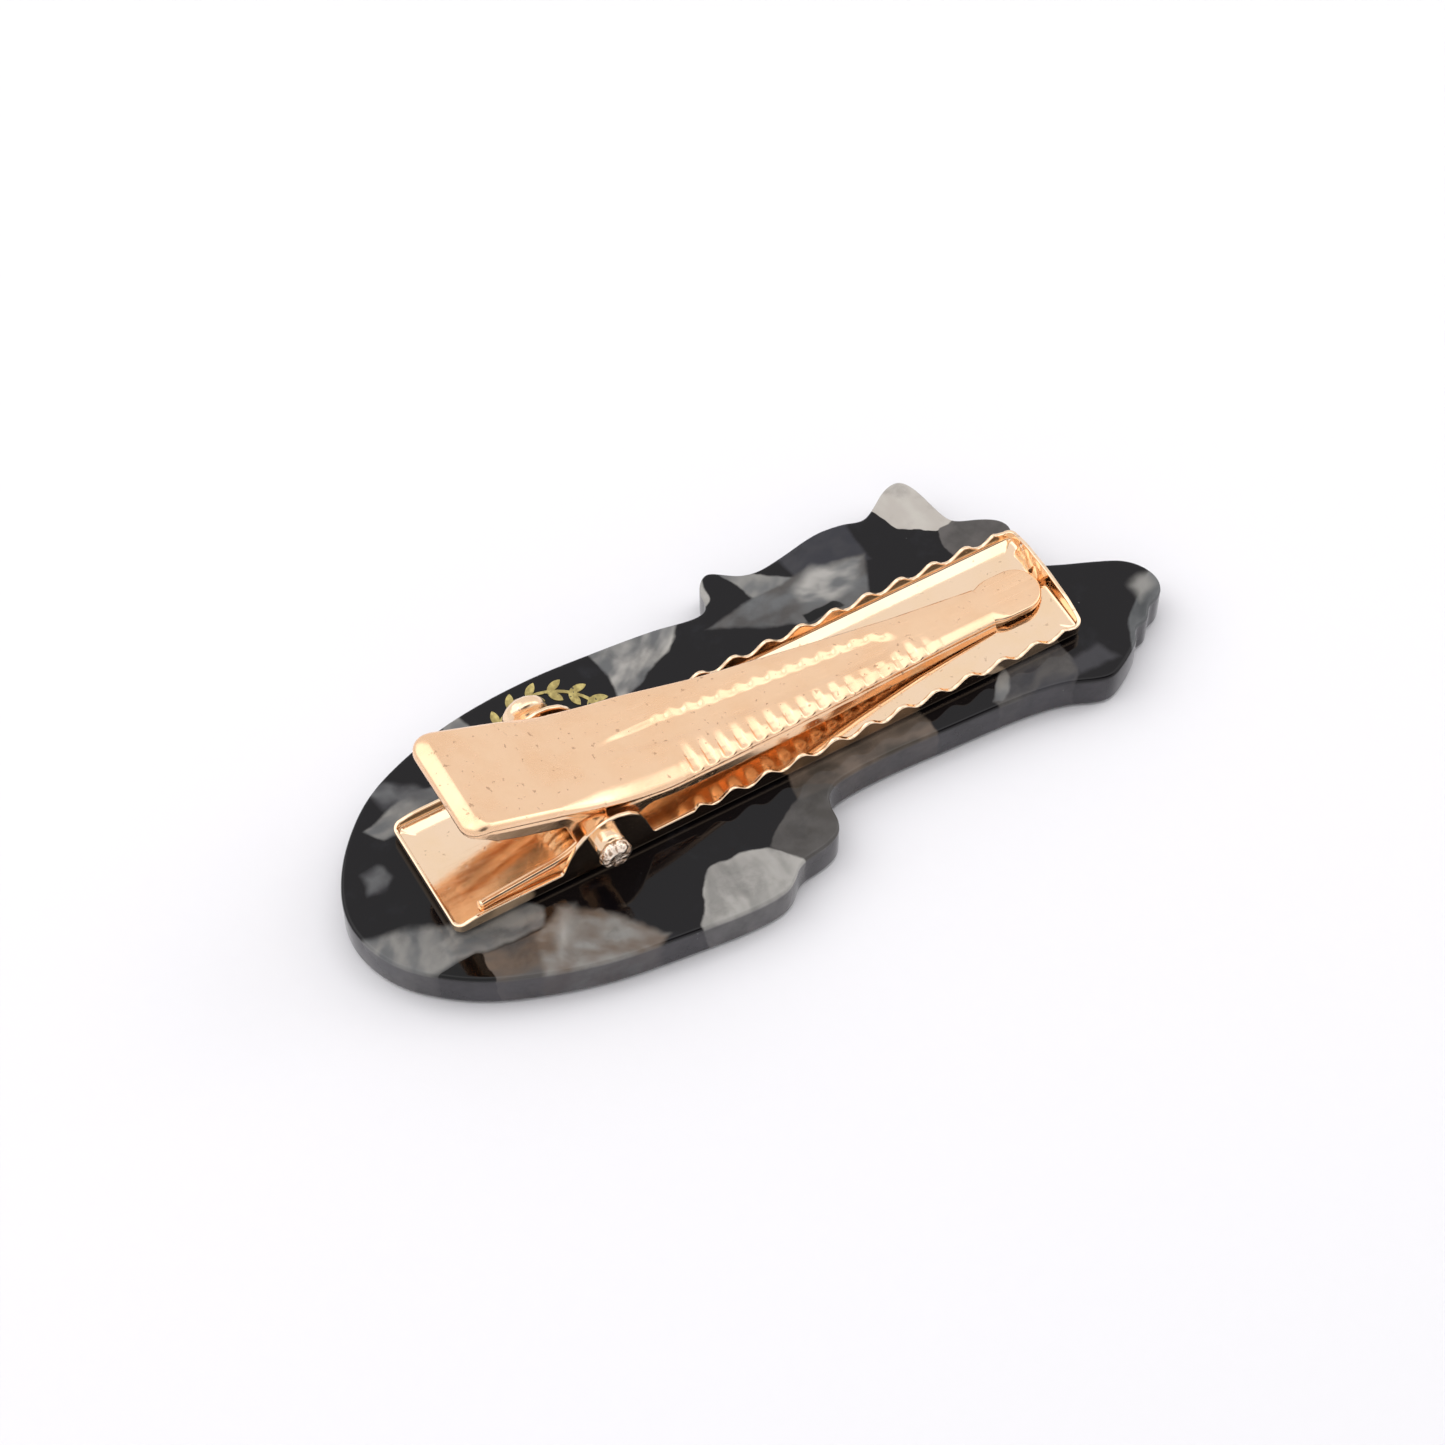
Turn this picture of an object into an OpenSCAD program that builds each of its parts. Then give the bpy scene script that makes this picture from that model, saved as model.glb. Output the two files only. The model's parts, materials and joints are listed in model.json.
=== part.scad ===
// Alligator hair clip: a sprung metal clip glued to the back of an acetate plaque.
// The plaque is a lying cat with one front paw stretched out. It lies on its front face.
// The origin is on that face, below the middle of the clip's rear end.
// +X runs along the clip to its tip, +Z up, and the cat's head is on the +Y side.
// Heights named h are measured up from the plaque's back face.

/* [Plaque] */
// Thickness of the acetate
plaque_t = 3; // [2.5:0.1:4]
// Thickness of the glue film under the base jaw
glue_t = 0.1; // [0.05:0.05:0.2]
// Straight pieces in each stretch of the cat's outline
outline_steps = 4; // [2:1:8]

/* [Base jaw] */
// Outer length of the base jaw
base_l = 46; // [46:0.5:48]
// Outer width of the base jaw
base_w = 8.9; // [8.8:0.1:9.2]
// Thickness of the base jaw's sheet
base_t = 0.4; // [0.3:0.05:0.45]
// Outer radius of the bends beside the floor
base_bend = 0.5; // [0.45:0.05:0.8]
// Spacing of the teeth along the side walls
tooth_pitch = 2.5; // [2:0.1:3]
// Height of a tooth above the valley beside it
tooth_h = 0.8; // [0.4:0.1:1]
// Outward lean of the two ears, in degrees
ear_lean = 3; // [1:0.5:4]

/* [Lever] */
// Thickness of the lever's sheet
lever_t = 0.45; // [0.3:0.05:0.5]
// Gap from the lever's tip to the outside of the front wall
tip_gap = 0.8; // [0.7:0.1:1.5]
// Radius of the lever's round tip
tip_r = 1.7; // [1.5:0.1:1.8]

/* [Pivot] */
// Distance of the pivot from the base jaw's rear end
pivot_x = 10.4; // [10.2:0.1:10.6]
// Height of the pivot above the plaque's back
pivot_h = 4.1; // [4:0.05:4.2]
// Radius of the pivot pin
pin_r = 1; // [0.8:0.05:1]
// Radius of the rivet head
head_r = 1.5; // [1.3:0.05:1.6]
// Radial play of the lever on the pin
play = 0.05; // [0.02:0.01:0.1]

/* [Spring] */
// Diameter of the spring wire
wire_d = 0.6; // [0.4:0.05:0.6]
// Mean radius of the coil
coil_r = 1.4; // [1.35:0.05:1.4]
// Turns in the coil
coil_turns = 9; // [6:1:9]

/* [Foil ornament] */
// Thickness of the gold foil
foil_t = 0.05; // [0.03:0.01:0.1]
// Radius of the sprig's curved stem
stem_r = 4; // [3.7:0.1:4.1]
// Leaves on each side of the stem
leaf_pairs = 6; // [4:1:7]

/* [Hidden] */
$fn = 48;

metal = [0.93, 0.75, 0.6];
back_z = plaque_t;
wall_y = base_w / 2;
pivot_z = back_z + pivot_h;
tip_x = base_l - tip_gap;
bore_play = 0.02;

// The cat's outline: rump, back, ears, cheek, stretched paw, belly and hind paw.
rump_and_back = [
    [-4.6, -3.3], [-5.3, -0.5], [-4.8, 2], [-3, 4.9], [0, 7.6], [4, 9.3], [8, 10.2],
    [13, 10.5], [18, 10.2], [22, 9.8]];
left_ear = [
    [24.8, 9.3], [25.8, 9.6], [26.1, 11], [26.6, 11.7], [27.2, 12], [28, 11.5],
    [29, 10.8], [30.2, 10.5]];
head_top = [[32, 10.7], [35, 11.2], [37, 11], [38.3, 10.6]];
right_ear = [
    [39.4, 11.1], [40.6, 11.9], [41.6, 12.2], [42.2, 12], [42.7, 10.9], [43.1, 8.6],
    [43.5, 7.6]];
cheek = [[45, 6.9], [46.1, 6.2], [46.5, 5.4], [46.2, 4.5], [45.8, 3.3], [46.2, 2]];
front_paw = [
    [47.3, 1.3], [50, 0.1], [51.5, -0.7], [52.4, -1.8], [52.7, -3], [52.4, -3.9],
    [51.6, -4.5], [51, -4.6], [50.6, -5.2], [50, -5.6], [49.3, -5.6], [48.9, -6.4],
    [48, -7.1], [47, -7.7], [46, -8.1]];
belly = [[45, -7.9], [43, -7.1], [40, -6.6], [35, -6.3], [30, -6.05], [26.6, -6.2]];
hind_paw = [
    [25.5, -6.7], [25.1, -7.6], [25, -8.6], [24.5, -9.5], [23.2, -10], [21.7, -10.2],
    [21, -10.5], [20.4, -11.1], [19.4, -11.6], [17, -11.7]];
haunch = [[13, -11.3], [8, -10.6], [4, -9.5], [0, -7.8], [-3, -5.5]];
cat = concat(rump_and_back, left_ear, head_top, right_ear, cheek, front_paw, belly,
             hind_paw, haunch);

// Side view of the lever's top face, as [x, h]: a straight tab, a bend and a straight jaw.
lever_top = [
    [1.55, 10], [1.75, 10.35], [2.1, 10.5], [2.6, 10.33], [5, 9.2], [10, 6.82], [11, 6.38],
    [12, 6.02], [13, 5.68], [14, 5.38], [15, 5.12], [16.5, 4.8], [20.7, 3.9], [25, 3.3],
    [29, 2.75], [35, 2], [41.5, 1.35]];
// Half width of the lever, as [x, y].
lever_side = [
    [1.5, 2.9], [1.6, 3.25], [1.8, 3.58], [2.1, 3.83], [2.5, 4], [3.2, 4.08], [8, 3.95],
    [16, 3.85], [25, 3.1], [29, 2.72], [35, 2.15], [41.5, 1.7]];
// Ear of the base jaw in side view, as [x, h].
ear = [
    [7.4, 0.9], [7.6, 1.5], [8, 2.9], [8.5, 4.1], [9.1, 4.85], [9.9, 5.4], [10.7, 5.65],
    [11.5, 5.6], [12.3, 5.25], [13, 4.5], [13.5, 3.2], [14, 1.5], [14.1, 0.9]];

// A closed smooth line through points, with steps pieces to each stretch.
function tangent(a, b, c) = (c - a) / (norm(c - b) + norm(b - a));
function hermite(p, q, u, v, s) =
    p * (2 * s ^ 3 - 3 * s ^ 2 + 1) + u * (s ^ 3 - 2 * s ^ 2 + s)
    + q * (3 * s ^ 2 - 2 * s ^ 3) + v * (s ^ 3 - s ^ 2);
function stretch(a, b, c, d, steps) =
    [for (i = [0 : steps - 1])
        hermite(b, c, tangent(a, b, c) * norm(c - b), tangent(b, c, d) * norm(c - b), i / steps)];
function smooth(p, steps) =
    [for (i = [0 : len(p) - 1])
        each stretch(p[i], p[(i + 1) % len(p)], p[(i + 2) % len(p)], p[(i + 3) % len(p)], steps)];

// Height of the base jaw's side wall at x.
rear_wall_h = 1.45;
toothed_from = 17.25;
toothed_to = 44.75;
corner_h = 1;
function tooth_wave(x) = 0.5 * tooth_h * (1 + cos(360 * (x - toothed_from) / tooth_pitch));
function valley_h(x) = 1.15 - 0.3 * (x - toothed_from) / (toothed_to - toothed_from);
function side_wall_h(x) =
    x < 2 ? corner_h + (rear_wall_h - corner_h) * sin(45 * x)
    : x < toothed_from ? rear_wall_h
    : x < toothed_to ? valley_h(x) + tooth_wave(x)
    : corner_h + 0.3 * (base_l - x);

// An outline in the XZ plane, made into a slab from y0 to y1.
module slab(y0, y1) {
    translate([0, y1, 0]) rotate([90, 0, 0]) linear_extrude(y1 - y0) children();
}

// A cylinder along Y through the pivot.
module on_pivot(r, y0, y1) {
    translate([pivot_x, y1, pivot_z]) rotate([90, 0, 0]) cylinder(r = r, h = y1 - y0);
}

module acetate_plaque() {
    color([0.17, 0.17, 0.18]) linear_extrude(plaque_t) polygon(smooth(cat, outline_steps));
}

module glue_film() {
    inset = 0.8;
    color([0.8, 0.8, 0.75])
        translate([inset, inset - wall_y, back_z])
            cube([base_l - 2 * inset, base_w - 2 * inset, glue_t]);
}

// Cross-section of a trough with round bottom corners, open at the top.
module trough(half_w, r, top) {
    translate([r - half_w, 0]) square([2 * (half_w - r), top]);
    translate([-half_w, r]) square([2 * half_w, top - r]);
    for (side = [-1, 1]) translate([side * (half_w - r), r]) circle(r);
}

// The front wall's outline: low at the corners and high in the middle.
module front_wall_outline() {
    polygon([[-wall_y, 0], [-wall_y, corner_h], [-3.5, 1.5], [-2.4, 1.8], [0, 1.95],
             [2.4, 1.8], [3.5, 1.5], [wall_y, corner_h], [wall_y, 0]]);
}

module base_jaw() {
    step = tooth_pitch / 10;
    top = concat([for (x = [0 : 0.5 : toothed_from - step]) [x, side_wall_h(x)]],
                 [for (x = [toothed_from : step : base_l]) [x, side_wall_h(x)]]);
    bottom_z = back_z + glue_t;
    trough_h = 3;
    color(metal) difference() {
        union() {
            // floor, side walls and rear lip
            intersection() {
                translate([0, 0, back_z])
                    slab(-wall_y, wall_y)
                        polygon(concat([[0, glue_t]], top, [[base_l, glue_t]]));
                translate([0, 0, bottom_z]) difference() {
                    rotate([90, 0, 90]) linear_extrude(base_l) trough(wall_y, base_bend, trough_h);
                    translate([base_t, 0, base_t])
                        rotate([90, 0, 90]) linear_extrude(base_l)
                            trough(wall_y - base_t, base_bend - base_t, trough_h);
                }
            }
            // front wall
            intersection() {
                translate([base_l - base_t, 0, back_z])
                    rotate([90, 0, 90]) linear_extrude(base_t) front_wall_outline();
                translate([0, 0, bottom_z])
                    rotate([90, 0, 90]) linear_extrude(base_l) trough(wall_y, base_bend, trough_h);
            }
            // ears, leaning a little outwards
            for (side = [-1, 1])
                mirror([0, side < 0 ? 1 : 0, 0])
                    translate([0, wall_y, back_z + ear[0][1]])
                        rotate([-ear_lean, 0, 0])
                            translate([0, 0, -ear[0][1]]) slab(-base_t, 0) polygon(ear);
        }
        on_pivot(pin_r + bore_play, -2 * wall_y, 2 * wall_y);
    }
}

// The lever's side view: everything between its top face and its flanges' lower edge.
module lever_profile() {
    tongue_h = 1.3;
    polygon(concat(
        lever_top,
        [[tip_x, tongue_h], [tip_x, tongue_h - lever_t], [42.2, 0.88], [41.9, 0.6],
         [35, 0.85], [29, 1.5], [25, 2.05], [20.7, 2.65], [16.5, 3.45], [14.2, 3.9],
         [12.6, 2.9], [11.4, 2.6], [9.6, 2.6], [8.7, 3.4], [8.5, 5.7], [5, 7.4], [2.6, 8.75],
         [2, 9.05], [1.5, 9.2], [1.5, 9.8]]));
}

// The lever's plan, narrowed by inset all round, from x0 to the round tip.
module lever_plan(inset, x0) {
    side = [for (p = lever_side) if (p[0] >= x0) [p[0], p[1] - inset]];
    tip = [for (turn = [90 : -10 : 0])
        [tip_x - tip_r + (tip_r - inset) * cos(turn), (tip_r - inset) * sin(turn)]];
    half = concat([[x0, side[0][1]]], side, tip);
    polygon(concat(half, [for (i = [len(half) - 2 : -1 : 0]) [half[i][0], -half[i][1]]]));
}

module lever_jaw() {
    tall = 12;
    under = [for (p = lever_top) if (p[0] > 2) [p[0], p[1] - lever_t * 1.08]];
    hollow_end = lever_top[len(lever_top) - 1][0];
    color(metal) difference() {
        intersection() {
            translate([0, 0, back_z]) slab(-wall_y, wall_y) lever_profile();
            translate([0, 0, back_z]) linear_extrude(tall) lever_plan(0, 1.5);
        }
        // the hollow under the top face, between the flanges
        intersection() {
            translate([0, 0, back_z]) slab(-wall_y, wall_y)
                polygon(concat(under, [[hollow_end, -1], [under[0][0], -1]]));
            translate([0, 0, back_z - 1]) linear_extrude(tall) lever_plan(lever_t, 2.1);
        }
        on_pivot(pin_r + play, -wall_y, wall_y);
    }
}

// A rivet: domed head with a nib on the +Y side, grooved and peened end on the -Y side.
module pivot_pin() {
    head_y = 5.2;
    end_y = -6.6;
    groove = 0.12;
    color(metal)
        translate([pivot_x, 0, pivot_z])
            rotate([-90, 0, 0])
                rotate_extrude()
                    polygon([
                        [0, end_y], [0.75, end_y], [pin_r + 0.1, end_y + 0.25],
                        [pin_r + 0.1, end_y + 0.75], [pin_r - groove, end_y + 0.85],
                        [pin_r - groove, end_y + 1], [pin_r, end_y + 1.1],
                        [pin_r, head_y - 0.1], [head_r - 0.2, head_y], [head_r, head_y + 0.25],
                        [head_r, head_y + 0.7], [head_r - 0.2, head_y + 1],
                        [head_r - 0.7, head_y + 1.3], [0.35, head_y + 1.4],
                        [0.3, head_y + 1.65], [0, head_y + 1.7]]);
}

// Centre line of the spring wire, from the lower leg's tip round the coil to the upper leg's.
lower_tip = [2.1, 0.83];
lower_knee = [8.4, 1.4];
leg_splay = 0.45;
upper_slope = 25.5;
upper_leg = 8.6;
coil_y = coil_turns * (wire_d + 0.06) / 2;
lower_rel = lower_knee - [pivot_x, pivot_h];
lower_turn = atan2(lower_rel[1], lower_rel[0]) + acos(coil_r / norm(lower_rel));
upper_turn = 90 - upper_slope;
sweep = lower_turn - upper_turn + 360 * coil_turns;
function on_coil(turn, y) =
    [pivot_x + coil_r * cos(turn), y, pivot_z + coil_r * sin(turn)];
function wire_path() =
    let (steps = ceil(sweep / 24),
         leave = on_coil(upper_turn, coil_y),
         upper_end = leave + upper_leg * [-cos(upper_slope), 0, sin(upper_slope)])
    concat([[lower_tip[0], -coil_y - leg_splay, back_z + lower_tip[1]],
            [lower_knee[0], -coil_y - 0.7 * leg_splay, back_z + lower_knee[1]]],
           [for (i = [0 : steps])
               on_coil(lower_turn - sweep * i / steps, coil_y * (2 * i / steps - 1))],
           [upper_end]);

// A tube of radius r swept along the points of p.
function along(p, i) =
    let (d = p[min(i + 1, len(p) - 1)] - p[max(i - 1, 0)]) d / norm(d);
function ring(p, i, r, sides) =
    let (d = along(p, i), u = cross(d, [0, 1, 0]) / norm(cross(d, [0, 1, 0])), v = cross(d, u))
    [for (k = [0 : sides - 1]) p[i] + r * (cos(360 * k / sides) * u + sin(360 * k / sides) * v)];
module tube(p, r, sides) {
    rings = len(p);
    points = [for (i = [0 : rings - 1]) each ring(p, i, r, sides)];
    walls = [for (i = [0 : rings - 2]) for (k = [0 : sides - 1])
        let (a = i * sides + k, b = i * sides + (k + 1) % sides)
        each [[a, b, b + sides], [a, b + sides, a + sides]]];
    ends = [[for (k = [sides - 1 : -1 : 0]) k],
            [for (k = [0 : sides - 1]) (rings - 1) * sides + k]];
    polyhedron(points, concat(walls, ends));
}

module torsion_spring() {
    color(metal) tube(wire_path(), wire_d / 2, 8);
}

// A pointed leaf: the overlap of two circles.
module leaf(length, width) {
    r = (length ^ 2 + width ^ 2) / (4 * width);
    translate([length / 2, 0]) intersection() {
        translate([0, r - width / 2]) circle(r);
        translate([0, width / 2 - r]) circle(r);
    }
}

// A plain leaf sprig stamped in foil on the plaque's back, curved round the rivet's head.
module foil_sprig() {
    stem_w = 0.22;
    stem_from = 145;
    stem_to = 20;
    centre = [12.3, 5.3];
    outer = [for (turn = [stem_to : 5 : stem_from]) stem_r * [cos(turn), sin(turn)]];
    inner = [for (turn = [stem_from : -5 : stem_to]) (stem_r - stem_w) * [cos(turn), sin(turn)]];
    color([0.75, 0.66, 0.4])
        translate([centre[0], centre[1], back_z]) linear_extrude(foil_t) {
            polygon(concat(outer, inner));
            for (i = [1 : leaf_pairs])
                for (side = [-1, 1])
                    rotate(stem_from - 90 - (stem_from - stem_to) * (i - 0.4) / leaf_pairs)
                        translate([0, stem_r - stem_w / 2]) rotate(side * 40) leaf(1.25, 0.55);
            rotate(stem_to - 90) translate([-0.3, stem_r - stem_w / 2]) leaf(1.4, 0.55);
        }
}

acetate_plaque();
glue_film();
base_jaw();
lever_jaw();
pivot_pin();
torsion_spring();
foil_sprig();
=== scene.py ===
"""Looks of the alligator hair clip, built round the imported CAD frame.

Lengths in this file are millimetres unless a name says otherwise, and meshes are turned into metres
when they are made. The outer shape of every piece is measured from its CAD node, and finer relief is
added to it here.
"""

import json
import math

import bpy
import numpy as np
from mathutils import Matrix, Vector
from mathutils.bvhtree import BVHTree
from mathutils.geometry import tessellate_polygon


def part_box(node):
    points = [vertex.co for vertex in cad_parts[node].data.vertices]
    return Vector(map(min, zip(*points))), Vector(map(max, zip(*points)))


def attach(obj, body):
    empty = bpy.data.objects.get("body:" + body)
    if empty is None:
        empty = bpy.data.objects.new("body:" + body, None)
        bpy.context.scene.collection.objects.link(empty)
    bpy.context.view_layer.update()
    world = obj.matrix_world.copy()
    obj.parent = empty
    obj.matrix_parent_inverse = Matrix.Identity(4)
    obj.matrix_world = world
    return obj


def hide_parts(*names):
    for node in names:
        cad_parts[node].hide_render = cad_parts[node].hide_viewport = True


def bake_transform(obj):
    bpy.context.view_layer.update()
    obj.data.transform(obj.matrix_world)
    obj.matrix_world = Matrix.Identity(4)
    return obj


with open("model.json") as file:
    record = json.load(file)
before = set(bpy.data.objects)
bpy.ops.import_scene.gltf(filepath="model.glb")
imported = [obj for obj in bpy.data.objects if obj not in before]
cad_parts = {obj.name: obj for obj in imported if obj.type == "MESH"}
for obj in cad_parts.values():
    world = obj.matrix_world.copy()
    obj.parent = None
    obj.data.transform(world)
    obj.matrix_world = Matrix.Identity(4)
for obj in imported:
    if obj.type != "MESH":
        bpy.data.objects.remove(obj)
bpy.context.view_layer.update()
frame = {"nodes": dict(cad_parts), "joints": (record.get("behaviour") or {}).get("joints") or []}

MM = 0.001  # metres in a millimetre


# ---------------------------------------------------------------- measuring the CAD

trees = {}


def probe(node, start, direction):
    """Where a ray from start first meets a CAD node, in mm, or None."""
    if node not in trees:
        mesh = frame["nodes"][node].data
        corners = [v.co for v in mesh.vertices]
        trees[node] = BVHTree.FromPolygons(corners, [p.vertices for p in mesh.polygons])
    hit = trees[node].ray_cast(Vector(start) * MM, Vector(direction))[0]
    return None if hit is None else np.array(hit) / MM


def box(node):
    """The low and the high corner of a CAD node's box, in mm."""
    low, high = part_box(node)
    return np.array(low) / MM, np.array(high) / MM


FAR_UP = 40.0  # where rays start, clear of every piece
PIVOT = np.array(frame["joints"][0]["pos_m"]) / MM
plaque_low, plaque_high = box("acetate_plaque")
tray_low, tray_high = box("base_jaw")
lever_low, lever_high = box("lever_jaw")
back_z = plaque_high[2]


# ---------------------------------------------------------------- mesh helpers

def make_mesh(name, points, faces, material, body=None, stands_for=()):
    """A smooth-shaded mesh object from points in mm, riding on a CAD body."""
    mesh = bpy.data.meshes.new(name)
    mesh.from_pydata([tuple(p) for p in np.array(points) * MM], [], faces)
    mesh.validate()
    mesh.polygons.foreach_set("use_smooth", [True] * len(mesh.polygons))
    mesh.materials.append(material)
    piece = bpy.data.objects.new(name, mesh)
    bpy.context.scene.collection.objects.link(piece)
    if body:
        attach(piece, body)
    if stands_for:
        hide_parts(*stands_for)
    return piece


def strip_between(first, second, closed):
    """Quads between two rows of point numbers of equal length."""
    count = len(first) if closed else len(first) - 1
    faces = []
    for i in range(count):
        j = (i + 1) % len(first)
        quad = [first[i], first[j], second[j], second[i]]
        if len(set(quad)) >= 3:
            faces.append(list(dict.fromkeys(quad)))
    return faces


def smooth_row(values, reach):
    """A running mean over reach samples each way, with the ends held."""
    padded = np.concatenate([np.full(reach, values[0]), values, np.full(reach, values[-1])])
    return np.convolve(padded, np.ones(2 * reach + 1) / (2 * reach + 1), mode="valid")


def smoothstep(low, high, x):
    """0 up to low, 1 from high on, and a smooth curve between them."""
    t = np.clip((np.asarray(x, float) - low) / (high - low), 0, 1)
    return t * t * (3 - 2 * t)


def outline_normals(loop):
    """Outward unit normals of a closed anticlockwise loop of [x, y] points."""
    along = np.roll(loop, -1, axis=0) - np.roll(loop, 1, axis=0)
    along /= np.linalg.norm(along, axis=1)[:, None]
    return np.stack([along[:, 1], -along[:, 0]], axis=1)


# ---------------------------------------------------------------- material helpers

class Shader:
    """A short way to write node trees."""

    def __init__(self, name):
        self.material = bpy.data.materials.new(name)
        self.material.use_nodes = True
        self.tree = self.material.node_tree
        self.main = self.tree.nodes["Principled BSDF"]
        self.place = self.add("ShaderNodeTexCoord").outputs["Object"]

    def add(self, kind, inputs=None, **settings):
        """A new node with some settings, and with values or links put into its inputs."""
        node = self.tree.nodes.new(kind)
        for key, value in settings.items():
            setattr(node, key, value)
        for key, value in (inputs or {}).items():
            self.put(node.inputs[key], value)
        return node

    def put(self, socket, value):
        if isinstance(value, bpy.types.NodeSocket):
            self.tree.links.new(value, socket)
        else:
            socket.default_value = value

    def set(self, **inputs):
        """Put values or links into the main shader; an underscore stands for a space."""
        for key, value in inputs.items():
            self.put(self.main.inputs[key.replace("_", " ")], value)

    def scaled(self, x, y, z):
        """The place on the object, in metres, times a scale per axis."""
        return self.vector("MULTIPLY", self.place, (x, y, z))

    def noise(self, vector, scale, detail=3.0, rough=0.5):
        node = self.add("ShaderNodeTexNoise", {"Vector": vector, "Scale": scale, "Detail": detail,
                                               "Roughness": rough})
        return node.outputs["Fac"]

    def math(self, operation, *values):
        return self.add("ShaderNodeMath", dict(enumerate(values)), operation=operation).outputs[0]

    def vector(self, operation, *values):
        return self.add("ShaderNodeVectorMath", dict(enumerate(values)), operation=operation).outputs[0]

    def span(self, value, low, high, out_low=0.0, out_high=1.0):
        """Turn low to high into out_low to out_high, with soft ends."""
        node = self.add("ShaderNodeMapRange", {"Value": value, "From Min": low, "From Max": high,
                                               "To Min": out_low, "To Max": out_high},
                        interpolation_type="SMOOTHSTEP")
        return node.outputs["Result"]

    def mix(self, share, a, b):
        """Colour a where share is 0 and colour b where it is 1."""
        node = self.add("ShaderNodeMix", data_type="RGBA")
        self.put(node.inputs["Factor"], share)
        self.put(node.inputs["A"], a)
        self.put(node.inputs["B"], b)
        return node.outputs["Result"]

    def bump(self, height, depth, normal=None):
        """Relief of a given depth, in mm."""
        node = self.add("ShaderNodeBump", {"Height": height, "Distance": depth * MM, "Strength": 1.0})
        if normal is not None:
            self.put(node.inputs["Normal"], normal)
        return node.outputs["Normal"]


def linear(r, g, b):
    """An sRGB colour, 0 to 255, as a linear one."""
    def one(c):
        c /= 255
        return c / 12.92 if c <= 0.04045 else ((c + 0.055) / 1.055) ** 2.4
    return (one(r), one(g), one(b), 1.0)


def lit(r, g, b):
    """The matt base colour that comes out as this sRGB colour in the light tent, under a thin gloss."""
    tent, gloss = 1.42, 0.018
    return tuple(max(c - gloss, 0.002) / tent for c in linear(r, g, b)[:3]) + (1.0,)


# ---------------------------------------------------------------- materials

def metal(name, colour, deep, rough, scratches=1.0, pits=1.0, hammered_below=None):
    """Plated stamping: tint that drifts, fine scratches, pits and a soft uneven polish.

    hammered_below is a Y in mm: metal with a smaller Y is paler and beaten rough.
    """
    s = Shader(name)
    cloudy = s.noise(s.place, 260.0, 4.0, 0.6)
    along = s.noise(s.scaled(160, 3800, 3800), 1.0, 2.0, 0.6)
    across = s.noise(s.scaled(3000, 420, 3000), 1.0, 2.0, 0.5)
    peel = s.noise(s.place, 1500.0, 2.0, 0.5)
    spots = s.span(s.noise(s.place, 2300.0, 2.0, 0.5), 0.66, 0.73)
    base = s.mix(s.span(cloudy, 0.35, 0.75), colour, deep)
    base = s.mix(s.math("MULTIPLY", spots, 0.55 * pits), base, linear(120, 85, 60))
    beaten = None
    if hammered_below is not None:
        side = s.add("ShaderNodeSeparateXYZ", {0: s.place}).outputs["Y"]
        beaten = s.span(side, (hammered_below - 0.1) * MM, (hammered_below + 0.1) * MM, 1.0, 0.0)
        dents = s.noise(s.place, 2400.0, 3.0, 0.6)
        pale = s.mix(s.span(dents, 0.42, 0.56), linear(176, 146, 122), linear(250, 232, 214))
        base = s.mix(beaten, base, pale)
    s.set(Base_Color=base, Metallic=1.0)
    polish = s.span(s.math("MULTIPLY", cloudy, along), 0.1, 0.5, rough * 0.75, rough * 1.35)
    s.set(Roughness=s.math("ADD", polish, s.math("MULTIPLY", spots, 0.2 * pits)))
    relief = s.bump(s.span(along, 0.58, 0.72), 0.0016 * scratches)
    relief = s.bump(s.span(across, 0.62, 0.75), 0.0012 * scratches, relief)
    relief = s.bump(peel, 0.004, relief)
    relief = s.bump(spots, -0.006 * pits, relief)
    if beaten is not None:
        relief = s.bump(s.math("MULTIPLY", dents, beaten), 0.22, relief)
    s.set(Normal=relief)
    return s.material


ROSE = (0.955, 0.65, 0.42, 1.0)
ROSE_DEEP = (0.91, 0.585, 0.355, 1.0)
TRAY_ROSE = (0.965, 0.725, 0.515, 1.0)
TRAY_DEEP = (0.955, 0.70, 0.46, 1.0)
PIN_ROSE = (0.95, 0.70, 0.48, 1.0)
PIN_DEEP = (0.90, 0.64, 0.42, 1.0)
BEATEN_BELOW = -5.85  # Y where the pin's beaten end starts
lever_metal = metal("rose_gold_lever", ROSE, ROSE_DEEP, 0.24, scratches=1.4, pits=0.8)
tray_metal = metal("rose_gold_tray", TRAY_ROSE, TRAY_DEEP, 0.11, scratches=0.6, pits=0.5)
pin_metal = metal("rose_gold_pin", PIN_ROSE, PIN_DEEP, 0.2, scratches=1.5, hammered_below=BEATEN_BELOW)
wire_metal = metal("rose_gold_wire", (0.93, 0.68, 0.46, 1.0), ROSE_DEEP, 0.15, scratches=1.2, pits=0.4)


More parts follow.
